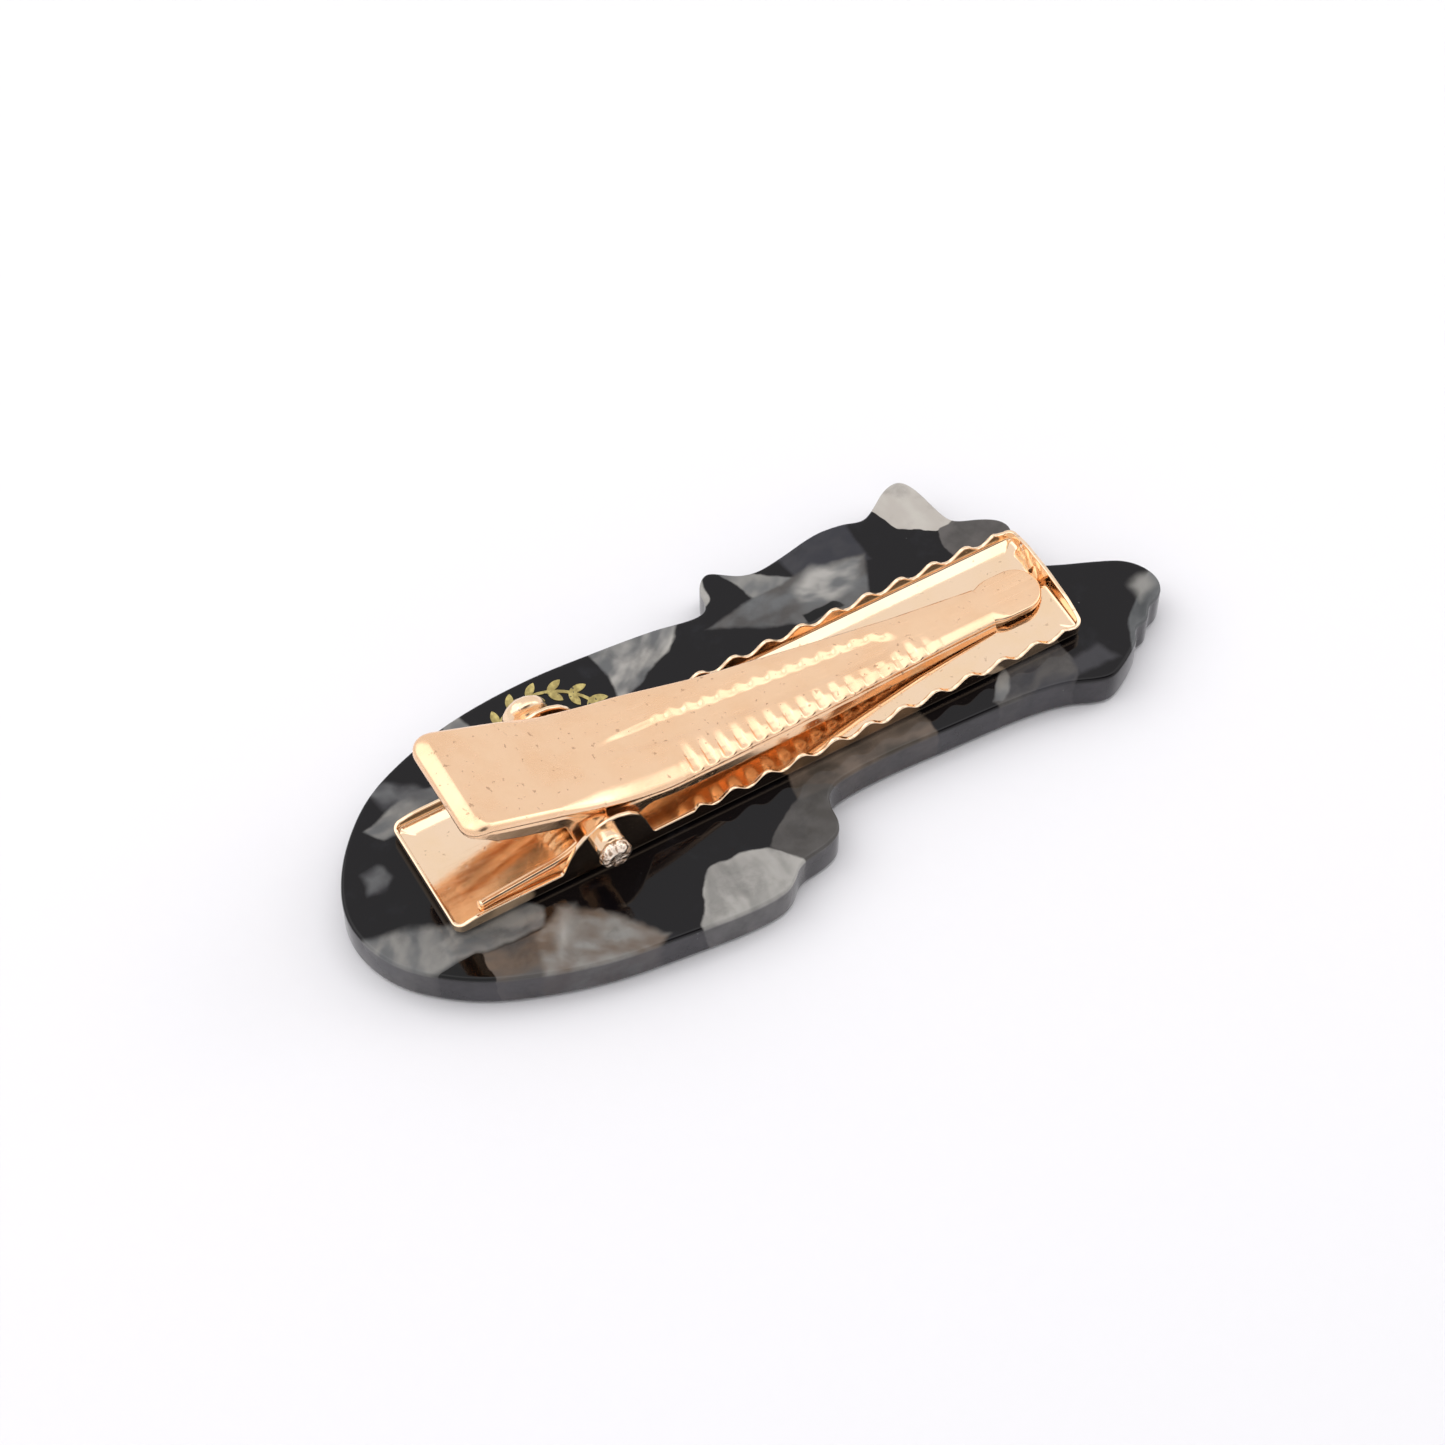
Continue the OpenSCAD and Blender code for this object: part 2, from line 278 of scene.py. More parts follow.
def marbled_acetate():
    """Black acetate with pearly shards in its back, and a painted reflection down the cut edge, which is
    painted a lighter grey.
    """
    s = Shader("marbled_acetate")
    place = s.place
    # the shards' edges wander: the scale of each drift, and how far it pushes, in metres
    for scale, push in ((330.0, 0.0011), (1400.0, 0.0002)):
        drift = s.add("ShaderNodeTexNoise", {"Vector": s.place, "Scale": scale, "Detail": 2.0})
        centred = s.vector("SUBTRACT", drift.outputs["Color"], (0.5, 0.5, 0.5))
        place = s.vector("ADD", place, s.vector("MULTIPLY", centred, (push, push, push)))
    cloud = s.noise(place, 420.0, 5.0, 0.62)
    veil = s.span(cloud, 0.3, 0.55, 0.72, 1.0)
    colour = s.mix(s.span(cloud, 0.55, 0.8), lit(41, 40, 41), lit(50, 50, 53))
    for shard in SHARDS:
        colour = add_shard(s, place, veil, colour, *shard)
    height = s.add("ShaderNodeSeparateXYZ", {0: s.place}).outputs["Z"]
    # painted reflection: the cut edge is painted a lighter grey than the back, for the bright surroundings
    # it mirrors
    painted_edge_reflection = s.mix(s.span(cloud, 0.3, 0.7), lit(70, 68, 72), lit(86, 83, 88))
    side = s.span(height, (back_z - 0.45) * MM, (back_z - 0.15) * MM, 0.75, 0.0)
    colour = s.mix(side, colour, painted_edge_reflection)
    dust = s.span(s.noise(s.place, 2600.0, 1.0), 0.80, 0.83)
    colour = s.mix(s.math("MULTIPLY", dust, 0.25), colour, lit(150, 150, 150))
    polish = s.span(cloud, 0.3, 0.7, 0.04, 0.09)
    s.set(Base_Color=colour, Roughness=polish, IOR=1.49, Specular_IOR_Level=0.3)
    s.set(Normal=s.bump(s.noise(s.place, 420.0, 2.0), 0.004))
    return s.material


def add_shard(s, place, veil, colour, corners, tone, tone_end, grain, soft):
    """One pearly shard, with straight edges between its corners and streaks along its grain."""
    depth = None
    for (x0, y0), (x1, y1) in zip(corners, corners[1:] + corners[:1]):
        length = math.hypot(x1 - x0, y1 - y0)
        inward = ((y0 - y1) / length, (x1 - x0) / length, 0.0)
        across = s.add("ShaderNodeVectorMath", {0: place, 1: inward}, operation="DOT_PRODUCT")
        edge = (inward[0] * x0 + inward[1] * y0) * MM
        inside = s.math("SUBTRACT", across.outputs["Value"], edge)
        depth = inside if depth is None else s.math("SMOOTH_MIN", depth, inside, CORNER_ROUND * MM)
    turned = s.add("ShaderNodeMapping", {"Vector": place, "Rotation": (0.0, 0.0, math.radians(grain)),
                                         "Scale": (1 / 380, 1 / 700, 1 / 380)}, vector_type="TEXTURE")
    streaks = s.noise(turned.outputs[0], 1.0, 2.0, 0.5)
    shade = s.mix(s.span(streaks, 0.32, 0.68), tone, tone_end)
    share = s.math("MULTIPLY", s.span(depth, -0.5 * soft * MM, 0.5 * soft * MM), veil)
    return s.mix(share, colour, shade)


PALE = lit(203, 197, 189)
SILVER = lit(180, 177, 172)
GREY = lit(150, 148, 144)
STEEL = lit(112, 113, 114)
MID = lit(96, 93, 91)
SMOKE = lit(74, 73, 76)
BROWN = lit(118, 105, 95)
INK = lit(30, 28, 28)
CORNER_ROUND = 0.25  # how round the corners of a shard are
# Each shard: its corners in mm, anticlockwise, two tones, its grain in degrees, and how wide its edge blurs.
SHARDS = [
    # under and behind the tab
    ([(-5.4, -1.6), (-4.8, -4.2), (-2.3, -6.1), (0.3, -6), (0.4, -3.2), (-2.4, -2.3)],
     STEEL, GREY, 60, 0.7),
    ([(-1.2, -4), (-1, -5.6), (0.2, -6), (5.2, -6.3), (5.8, -5.2), (5, -4)], GREY, STEEL, -5, 0.4),
    ([(0.8, -6.1), (0.9, -9), (4, -9.6), (9, -8.4), (8.8, -7), (4.4, -6.4)], BROWN, MID, -15, 0.2),
    ([(4.4, -6.8), (3.2, -9.8), (9.8, -11.4), (11.6, -10.6), (8.5, -7), (6.6, -5.7)],
     BROWN, GREY, -35, 0.6),
    ([(5.2, -7.6), (5, -8.6), (7, -7.4), (7.4, -6), (6.6, -5.7)], GREY, SILVER, 60, 1.0),
    ([(-2.6, -6.2), (0.9, -9), (0.8, -6.1)], INK, INK, 0, 0.12),
    ([(-3.4, 1.2), (-2.4, 0.9), (-1.5, 1.6), (-1.9, 2.6), (-3.1, 2.6)], SMOKE, STEEL, 0, 0.5),
    ([(-1.2, 5.6), (-0.5, 4.2), (4.6, 4.6), (4.4, 5.8), (3, 6.3), (0.6, 6.2)], GREY, STEEL, 0, 0.3),
    ([(0, 8), (0.5, 6.3), (3.8, 5.6), (2.8, 6.8), (1.2, 7.9)], SMOKE, STEEL, -30, 0.6),
    ([(6.3, 9.5), (7.2, 8.7), (8, 8.7), (8.05, 10.6), (7, 10.4)], STEEL, GREY, 20, 0.25),
    # along the back and on the head
    ([(17.4, 10.8), (17.5, 6), (18.8, 6.2), (22.4, 8), (23.7, 9.7), (22, 10.4)], STEEL, SILVER, 35, 0.25),
    ([(25, 9.4), (26.2, 9.9), (26.6, 12), (25.4, 11)], GREY, SILVER, 70, 0.15),
    ([(27.4, 12.4), (28.9, 8.5), (32.3, 8.9), (32, 10.8), (29, 11.2)], GREY, STEEL, 40, 0.2),
    ([(31.8, 10.9), (32.2, 8.6), (37, 7.6), (37.1, 11.4), (33, 11.5)], SMOKE, lit(64, 64, 69), 10, 0.4),
    ([(25, 7.95), (31, 5.2), (33.5, 4.8), (35.6, 5), (36.9, 8.3), (33, 9.1), (28.5, 8.6)],
     MID, STEEL, 15, 0.35),
    ([(31.6, 6.4), (33, 6), (35.2, 6.2), (36.4, 8), (33.4, 8.9), (31.5, 8)], STEEL, SILVER, -20, 0.9),
    ([(30.9, 5.2), (33.7, 5.2), (33.3, 6), (31, 5.9)], INK, INK, 0, 0.15),
    ([(39.1, 11.1), (39.6, 9.8), (40, 8.9), (42.1, 7.3), (43.8, 7.6), (43.6, 12.4), (40, 12.6)],
     PALE, lit(194, 187, 179), 80, 0.06),
    ([(41.8, 6.2), (42.1, 3.5), (47, 3.5), (47, 6.6), (43.6, 7.8), (42.2, 7.4)],
     MID, lit(106, 102, 100), 20, 0.12),
    # belly, hind paw and stretched paw
    ([(24, -3.6), (23.4, -5.9), (25.4, -6.6), (33.9, -6.6), (33.6, -3.6)], lit(84, 78, 72), BROWN, 5, 0.3),
    ([(13.8, -11.2), (14, -12.4), (20.6, -12.4), (21.7, -10.2), (20.3, -8.2), (18.6, -7.5),
      (16.1, -7.7), (15, -8.8)],
     GREY, SILVER, 85, 0.2),
    ([(20.3, -8.1), (21.7, -10.3), (26, -10.6), (26, -6.4), (24.4, -5.4), (21.8, -6.7)],
     MID, lit(84, 81, 78), -30, 0.2),
    ([(38.1, -6), (38.4, -6.9), (43.4, -7.6), (44.4, -6.2), (44.2, -4.2), (40.2, -4.1)],
     SMOKE, MID, 15, 0.25),
    ([(38.1, -6), (38.9, -6.1), (40.4, -4.9), (40.4, -4.2), (39.6, -4.5)], STEEL, GREY, 45, 0.2),
    ([(44.2, -5.5), (44, -6.9), (47, -7), (46.4, -5.4)], SMOKE, SMOKE, 0, 0.5),
    ([(46.9, -8.6), (53, -6), (53, -2.4), (51.8, -2.1), (50.5, -2.6), (49.4, -4.6), (47.4, -6)],
     STEEL, lit(84, 86, 87), 45, 0.25),
    ([(50.8, -3.9), (52.2, -3.4), (52.4, -2.6), (51.6, -2.3), (50.8, -2.7)], GREY, GREY, 45, 0.9),
]
acetate = marbled_acetate()


def gold_foil():
    """Stamped foil: dull gold with a grain and small worn holes."""
    s = Shader("gold_foil")
    grain = s.noise(s.place, 2100.0, 3.0, 0.7)
    colour = s.mix(s.span(grain, 0.35, 0.7), linear(150, 134, 84), linear(196, 180, 116))
    holes = s.span(s.noise(s.place, 3800.0, 1.0), 0.68, 0.71)
    colour = s.mix(holes, colour, linear(60, 56, 44))
    shine = s.math("SUBTRACT", 0.75, s.math("MULTIPLY", holes, 0.6))
    s.set(Base_Color=colour, Metallic=shine, Roughness=0.45)
    s.set(Normal=s.bump(grain, 0.006))
    return s.material


def glue_material():
    s = Shader("clear_glue")
    cloudy = s.noise(s.place, 600.0, 3.0)
    s.set(Base_Color=s.mix(cloudy, linear(150, 148, 138), linear(205, 203, 192)), Roughness=0.3)
    s.set(Normal=s.bump(cloudy, 0.02))
    return s.material


def dress_node(node, material):
    """Give a CAD node that stays as it is its own material."""
    data = frame["nodes"][node].data
    data.materials.clear()
    data.materials.append(material)


dress_node("foil_sprig", gold_foil())
dress_node("glue_film", glue_material())


# ---------------------------------------------------------------- acetate plaque

def plaque_outline():
    """The plaque's outline from the CAD node's top face, anticlockwise, in mm."""
    mesh = frame["nodes"]["acetate_plaque"].data
    top = {}
    for v in mesh.vertices:
        if v.co.z > (back_z - 0.01) * MM:
            top.setdefault((round(v.co.x / MM, 3), round(v.co.y / MM, 3)), []).append(v.index)
    number = {i: key for key, group in top.items() for i in group}
    uses = {}
    for polygon in mesh.polygons:
        keys = [number.get(i) for i in polygon.vertices]
        if None in keys:
            continue
        for a, b in zip(keys, keys[1:] + keys[:1]):
            uses[a, b] = uses.get((a, b), 0) + 1
    # an edge of the rim is used by one polygon only
    rim = {a: b for a, b in uses if (b, a) not in uses}
    start = min(rim)
    loop = [start]
    while rim[loop[-1]] != start:
        loop.append(rim[loop[-1]])
    loop = np.array(loop)
    area = np.sum(loop[:, 0] * np.roll(loop[:, 1], -1) - np.roll(loop[:, 0], -1) * loop[:, 1])
    return loop if area > 0 else loop[::-1]


def resample(loop, spacing):
    """The closed loop with evenly spaced points."""
    closed = np.vstack([loop, loop[:1]])
    walked = np.concatenate([[0], np.cumsum(np.linalg.norm(np.diff(closed, axis=0), axis=1))])
    count = int(walked[-1] / spacing)
    places = np.linspace(0, walked[-1], count, endpoint=False)
    return np.stack([np.interp(places, walked, closed[:, k]) for k in (0, 1)], axis=1)


def build_plaque():
    """The cut sheet with tumbled edges: a small round at the back, a larger one at the front."""
    spacing = 0.2
    outline = resample(plaque_outline(), spacing)
    for _ in range(3):
        outline = (np.roll(outline, 1, axis=0) + 2 * outline + np.roll(outline, -1, axis=0)) / 4
    normals = outline_normals(outline)
    back_round, front_round, steps = 0.22, 0.45, 6
    deep, shallow = 0.35, 0.1  # how far inside the rounds the two flat rings lie
    # at tight outside corners the rounds shrink, so that no ring crosses itself
    reach = 3
    ahead, behind = np.roll(normals, -reach, axis=0), np.roll(normals, reach, axis=0)
    sharp = (behind[:, 0] * ahead[:, 1] - behind[:, 1] * ahead[:, 0]) / (2 * reach * spacing)
    room = np.clip(0.6 / np.maximum(sharp, 0.01) / (front_round + deep), 0.1, 1)
    room = np.min([np.roll(room, k) for k in range(-4, 5)], axis=0)
    for _ in range(12):
        room = (np.roll(room, 1) + 2 * room + np.roll(room, -1)) / 4
    rows = []
    for inset in (front_round + deep, front_round + shallow):
        rows.append((inset, plaque_low[2]))
    for k in range(steps + 1):
        turn = math.pi / 2 * k / steps
        rows.append((front_round * (1 - math.sin(turn)),
                     plaque_low[2] + front_round * (1 - math.cos(turn))))
    for k in range(steps + 1):
        turn = math.pi / 2 * k / steps
        rows.append((back_round * (1 - math.cos(turn)), back_z - back_round * (1 - math.sin(turn))))
    for inset in (back_round + shallow, back_round + deep):
        rows.append((inset, back_z))
    points, rings = [], []
    for inset, z in rows:
        rings.append(list(range(len(points), len(points) + len(outline))))
        flat = outline - normals * (inset * room)[:, None]
        points += [(x, y, z) for x, y in flat]
    faces = []
    for a, b in zip(rings, rings[1:]):
        faces += strip_between(a, b, closed=True)
    faces.append(rings[-1])
    # the deep inset of the front face can cross itself, so its triangles are found on the outline
    for a, b, c in tessellate_polygon([[Vector((x, y, 0)) for x, y in outline]]):
        (ax, ay), (bx, by), (cx, cy) = outline[a], outline[b], outline[c]
        if (bx - ax) * (cy - ay) > (cx - ax) * (by - ay):
            b, c = c, b
        faces.append([rings[0][a], rings[0][b], rings[0][c]])
    return make_mesh("acetate_cat", points, faces, acetate, "clip_base", ["acetate_plaque"])


build_plaque()


# ---------------------------------------------------------------- base jaw

RIM_SHEET = 0.26  # sheet at the rim, thinner than at the floor
BASE_BEND = 0.5  # outer radius between floor and walls
TRAY_CORNER = 0.65  # outer radius of the corners in plan
CORNER_STEPS = 8
TONGUE_FOLD = 0.42  # how far the crumpled tongue leans in from the front wall


def wall_top(x, y):
    """Height of the tray's rim, looking down at a point in the middle of the wall's sheet."""
    hit = probe("base_jaw", (x, y, FAR_UP), (0, 0, -1))
    return hit[2] if hit is not None else tray_low[2] + 1.0


def tray_loop(x0, x1, half_w, inset, side_count, end_count):
    """Plan of the tray's wall at an inset from its outside, anticlockwise from the near rear corner."""
    radius = max(TRAY_CORNER - inset, 0.1)
    left, right, reach = x0 + inset + radius, x1 - inset - radius, half_w - inset - radius
    along, across = np.linspace(left, right, side_count), np.linspace(-reach, reach, end_count)
    plan = [(x, -reach - radius) for x in along]
    corners = [(right, -reach, -math.pi / 2), (right, reach, 0),
               (left, reach, math.pi / 2), (left, -reach, math.pi)]
    straight = [[(right + radius, y) for y in across], [(x, reach + radius) for x in along[::-1]],
                [(left - radius, y) for y in across[::-1]], []]
    for (cx, cy, start), after in zip(corners, straight):
        for k in range(1, CORNER_STEPS):
            turn = start + math.pi / 2 * k / CORNER_STEPS
            plan.append((cx + radius * math.cos(turn), cy + radius * math.sin(turn)))
        plan += after
    return np.array(plan)


def build_tray():
    """The stamping: the outside follows the CAD, the rim is rounded and the floor dishes up to the walls."""
    x0, x1 = tray_low[0], tray_high[0]
    half_w = -probe("base_jaw", (x1 / 2, -FAR_UP, tray_low[2] + 0.6), (0, 1, 0))[1]
    floor_z, inner_z = tray_low[2], back_z + 0.5
    side_count, end_count = 440, 70

    def plan(inset):
        return tray_loop(x0, x1, half_w, inset, side_count, end_count)

    middle = plan(0.06)
    tops = np.array([wall_top(x, y) for x, y in middle])
    ring_size = len(tops)
    near, front = slice(0, side_count), side_count + CORNER_STEPS - 1
    far = front + end_count + CORNER_STEPS - 1
    rear = far + side_count + CORNER_STEPS - 1
    tops[near] = smooth_row(tops[near], 1)
    tops[far:far + side_count] = smooth_row(tops[far:far + side_count], 1)
    tops[front:front + end_count] = smooth_row(tops[front:front + end_count], 3)
    for start in (side_count, front + end_count, far + side_count, rear + end_count):
        stop = start + CORNER_STEPS - 1
        share = np.arange(1, CORNER_STEPS) / CORNER_STEPS
        tops[start:stop] = tops[start - 1] + (tops[stop % ring_size] - tops[start - 1]) * share
    # the ears lean outwards: how far, from the widest part of the CAD node
    lean = (tray_high[1] - half_w) / (tray_high[2] - floor_z - 1.0)
    ear = np.exp(-((middle[:, 0] - PIVOT[0]) / 3.4) ** 6) * (np.abs(middle[:, 1]) > half_w - 0.1)
    # a crumpled tongue folded inwards on the far half of the front wall
    side_y = middle[:, 1]
    at_front = middle[:, 0] > x1 - 0.15
    tongue = at_front * smoothstep(-0.35, -0.15, side_y) * (1 - smoothstep(2.9, 3.1, side_y))
    crumple = 0.05 * np.sin(5.1 * side_y + 0.6) + 0.014 * np.sin(11.7 * side_y)
    crumple += 0.005 * np.sin(23 * side_y + 1)
    points, rings = [], []

    # the floor dishes up to the far and front walls, and hardly at all to the other two
    facing = outline_normals(middle)
    dish = 0.2 + 0.8 * np.maximum(np.clip(facing[:, 0], 0, 1), np.clip(facing[:, 1], 0, 1)) ** 2

    def ring(inset, heights, folded=0.0):
        rings.append(list(range(len(points), len(points) + ring_size)))
        flat = plan(inset)
        lift = np.maximum(heights - floor_z - 1.0, 0)
        flat[:, 1] += np.sign(flat[:, 1]) * ear * lean * lift
        flat[:, 0] -= folded * tongue * (1 + crumple * 3)
        points.extend(np.column_stack([flat, heights]))

    def level(z):
        return np.full(ring_size, z)

    ring(BASE_BEND + 0.1, level(floor_z))
    for k in range(7):
        turn = math.pi / 2 * k / 6
        ring(BASE_BEND * (1 - math.sin(turn)), level(floor_z + BASE_BEND * (1 - math.cos(turn))))
    for k in range(1, 13):
        ring(0.0, floor_z + BASE_BEND + (tops - 0.06 - floor_z - BASE_BEND) * k / 12)
    for inset, drop in ((0.02, 0.02), (0.06, 0.0), (RIM_SHEET - 0.06, 0.0), (RIM_SHEET - 0.02, 0.02)):
        ring(inset, tops - drop)
    foot = inner_z + 0.24
    for k in range(13):
        share = k / 12
        wave = 0.05 * tongue * np.sin(9 * share + 4 * side_y)
        ring(RIM_SHEET, tops - 0.06 - (tops - 0.06 - foot) * share + wave * share * (1 - share) * 4,
             TONGUE_FOLD * share)
    dip = 0.12 * tongue
    for inset, rise in ((RIM_SHEET + 0.05, 0.17), (RIM_SHEET + 0.12, 0.14), (RIM_SHEET + 0.3, 0.1),
                        (RIM_SHEET + 0.5, 0.062), (RIM_SHEET + 0.72, 0.028), (RIM_SHEET + 0.92, 0.007),
                        (RIM_SHEET + 1.05, 0.0), (RIM_SHEET + 1.15, 0.0)):
        fold = TONGUE_FOLD * max(1 - (inset - RIM_SHEET) / 0.4, 0.0)
        ring(inset, inner_z + rise * dish - dip * (inset < RIM_SHEET + 0.2), fold)
    faces = []
    for a, b in zip(rings, rings[1:]):
        faces += strip_between(a, b, closed=True)
    faces.append(rings[0][::-1])
    faces.append(rings[-1])
    return make_mesh("base_tray", points, faces, tray_metal, "clip_base", ["base_jaw"])


build_tray()


# ---------------------------------------------------------------- lever

LEVER_SHEET = 0.45
LEVER_COLUMNS = 84
STATION = 0.1  # distance between two stations along the lever
FLANGE_END = 41.9  # X where the side flanges stop
TIP_ROLL = 0.16  # reach of the rolled edge round the tip
REAR_ROLL = 1.2  # reach of the rolled edge at the end of the tab
REAR_CORNER = 0.7
ROLL_X = [8.0, 11.0, 16.0, 20.0, FLANGE_END - 0.6, FLANGE_END + 0.3]
RIB_PITCH = 1.22
RIB_DEPTH = 0.34
CHANNEL_DEPTH = 0.14
CHANNEL_Y = 0.08


def measure_lever():
    """Places along the CAD lever, with the height of its top and its half width there, smoothed."""
    rear, tip = lever_low[0], lever_high[0]
    x_all = np.arange(rear + 1.1, tip - 0.3, STATION)
    raw_top = np.array([probe("lever_jaw", (x, 0, FAR_UP), (0, 0, -1))[2] for x in x_all])
    raw_wide = np.array([probe("lever_jaw", (x, FAR_UP, z - 0.25), (0, -1, 0))[1]
                         for x, z in zip(x_all, raw_top)])
    straight = (x_all > rear + 2.0) & (x_all < tip - 3.0)
    wide = np.interp(x_all, x_all[straight], raw_wide[straight])
    return x_all, smooth_row(raw_top, 9), smooth_row(wide, 8)


measured_x, measured_top, measured_wide = measure_lever()


def lever_top(x):
    """Height of the lever's top, carried on in a straight line past both ends."""
    x = np.asarray(x, float)
    first, last = measured_x[12], measured_x[-1]
    low_slope = (measured_top[22] - measured_top[12]) / (10 * STATION)
    high_slope = (measured_top[-3] - measured_top[-13]) / (10 * STATION)
    inside = np.interp(np.maximum(x, first), measured_x, measured_top)
    return inside + np.minimum(x - first, 0) * low_slope + np.maximum(x - last, 0) * high_slope


def lever_slope(x):
    return (lever_top(x + 0.2) - lever_top(x - 0.2)) / 0.4


def roll_out(x):
    """How far the rolled edge reaches sideways."""
    return np.interp(x, ROLL_X, [0.45, 1.25, 1.25, 0.95, 0.8, TIP_ROLL])


def roll_down(x):
    """How far the rolled edge drops."""
    return np.interp(x, ROLL_X, [0.45, 0.55, 0.55, 0.5, 0.4, TIP_ROLL])


def splay(x):
    """How far the flange's lower edge stands out beyond its top."""
    return np.interp(x, [15.0, 22.0, FLANGE_END - 0.6, FLANGE_END], [0.0, 0.24, 0.2, 0.0])


def lever_relief(x, y, half_w):
    """Height of the pressed relief: a channel, scalloped on its far side, and ribs on the near side."""
    channel_w = np.interp(x, [11.5, 14.0, 17.0, 33.0, 34.8], [0.0, 0.55, 0.85, 0.75, 0.0])
    channel_on = smoothstep(11.5, 16.0, x) * (1 - smoothstep(33.9, 34.8, x))
    wave = 0.5 * (1 + math.cos(2 * math.pi * (x - 17.2) / RIB_PITCH))
    rows_on = smoothstep(16.6, 17.8, x) * (1 - smoothstep(34.0, 38.0, x))
    scallop = 0.4 * wave * rows_on if y > CHANNEL_Y else 0.0
    outside = smoothstep(channel_w - 0.2, channel_w + 0.3 + scallop, abs(y - CHANNEL_Y))
    channel = -CHANNEL_DEPTH * channel_on * (1 - outside)
    if y > 0:
        return channel
    ridge = smoothstep(0.2, 0.8, wave)
    beside = smoothstep(channel_w + 0.1, half_w - 0.1, -y)
    return channel - rows_on * RIB_DEPTH * (1 - ridge) * beside


def lever_stations():
    """X of every station and the pressed top's half width there: rear corner, long body, round tip."""
    tip_r = 1.7 - TIP_ROLL
    tip_centre = lever_high[0] - TIP_ROLL - tip_r
    inner_rear = lever_low[0] + REAR_ROLL
    body = inner_rear + REAR_CORNER
    full = float(np.interp(body, measured_x, measured_wide) - roll_out(inner_rear))
    stations, widths = [], []
    for k in range(9):
        turn = math.pi / 2 * k / 9
        stations.append(inner_rear + REAR_CORNER * (1 - math.cos(turn)))
        widths.append(full - REAR_CORNER + REAR_CORNER * math.sin(turn))
    for x in np.arange(body, tip_centre, STATION):
        stations.append(x)
        widths.append(float(np.interp(x, measured_x, measured_wide) - roll_out(x) - splay(x)))
    last = widths[-1]
    for k in range(15):
        turn = math.pi / 2 * k / 14
        stations.append(tip_centre + tip_r * math.sin(turn))
        widths.append(max(last * math.cos(turn), 0.02))
    return np.array(stations), np.array(widths)


def pressed_top(stations, widths):
    """The points of the pressed top, and the rows of their numbers."""
    points, rows = [], []
    for x, w in zip(stations, widths):
        row = []
        tilt = lever_slope(x)
        up = np.array([-tilt, 0, 1.0]) / math.hypot(tilt, 1)
        full_w = w + roll_out(x) + splay(x)
        for j in range(LEVER_COLUMNS + 1):
            y = w * (2 * j / LEVER_COLUMNS - 1)
            row.append(len(points))
            points.append(np.array([x, y, float(lever_top(x))]) + up * lever_relief(x, y, full_w))
        rows.append(row)
    return points, rows


class LeverEdge:
    """The loop round the pressed top, anticlockwise from above, with its directions and reaches."""

    def __init__(self, stations, widths):
        last = len(stations) - 1
        loop = [(i, 0) for i in range(last + 1)]
        loop += [(last, j) for j in range(1, LEVER_COLUMNS)]
        loop += [(i, LEVER_COLUMNS) for i in range(last, -1, -1)]
        loop += [(0, j) for j in range(LEVER_COLUMNS - 1, 0, -1)]
        self.loop = loop
        self.plan = np.array([(stations[i], widths[i] * (2 * j / LEVER_COLUMNS - 1)) for i, j in loop])
        normals = outline_normals(self.plan)
        for _ in range(3):
            normals = (np.roll(normals, 1, axis=0) + 2 * normals + np.roll(normals, -1, axis=0)) / 4
            normals /= np.linalg.norm(normals, axis=1)[:, None]
        tilts = np.array([float(lever_slope(stations[i])) for i, _ in loop])
        length = np.hypot(tilts, 1)
        level = np.zeros(len(loop))
        x = self.plan[:, 0]
        # 1 where the edge faces backwards, at the end of the tab
        backwards = np.clip(-normals[:, 0], 0, 1) * (x < lever_low[0] + 3)
        self.backwards = backwards
        self.out_reach = roll_out(x) * (1 - backwards ** 2) + REAR_ROLL * backwards ** 2
        self.down_reach = roll_down(x) * (1 - backwards ** 2) + 0.72 * backwards ** 2
        self.inward = np.column_stack([-normals, level])
        self.out = np.column_stack([normals, level])
        self.out[:, 2] = normals[:, 0] * tilts * (1 - backwards)
        up = np.column_stack([-tilts / length, level, 1 / length])
        self.up = up * (1 - backwards[:, None]) + np.array([[0, 0, 1.0]]) * backwards[:, None]


def rolled_rows(edge, start):
    """Rows of points round the bend: a quarter round on the tab, shallow with a tight end elsewhere."""
    slope_out = [0.1, 0.25, 0.4, 0.55, 0.7, 0.82, 0.91, 0.96, 0.99, 1.0]
    slope_down = [0.015, 0.06, 0.13, 0.21, 0.3, 0.39, 0.5, 0.64, 0.82, 1.0]
    x = edge.plan[:, 0]
    shallow = np.interp(x, [8.0, 11.0, FLANGE_END - 0.6, FLANGE_END + 0.3], [0.2, 1.0, 1.0, 0.0])
    shallow = np.maximum(shallow, edge.backwards ** 2)
    unpressed = np.column_stack([edge.plan, lever_top(x)])
    rows = []
    for k, (sideways, down) in enumerate(zip(slope_out, slope_down), 1):
        turn = math.pi / 2 * k / len(slope_out)
        share_out = math.sin(turn) * (1 - shallow) + sideways * shallow
        share_down = (1 - math.cos(turn)) * (1 - shallow) + down * shallow
        # the pressed relief fades over the bend
        moved = start + (unpressed - start) * share_out[:, None] ** 3
        moved = moved + edge.out * (edge.out_reach * share_out)[:, None]
        rows.append(moved - edge.up * (edge.down_reach * share_down)[:, None])
    return rows


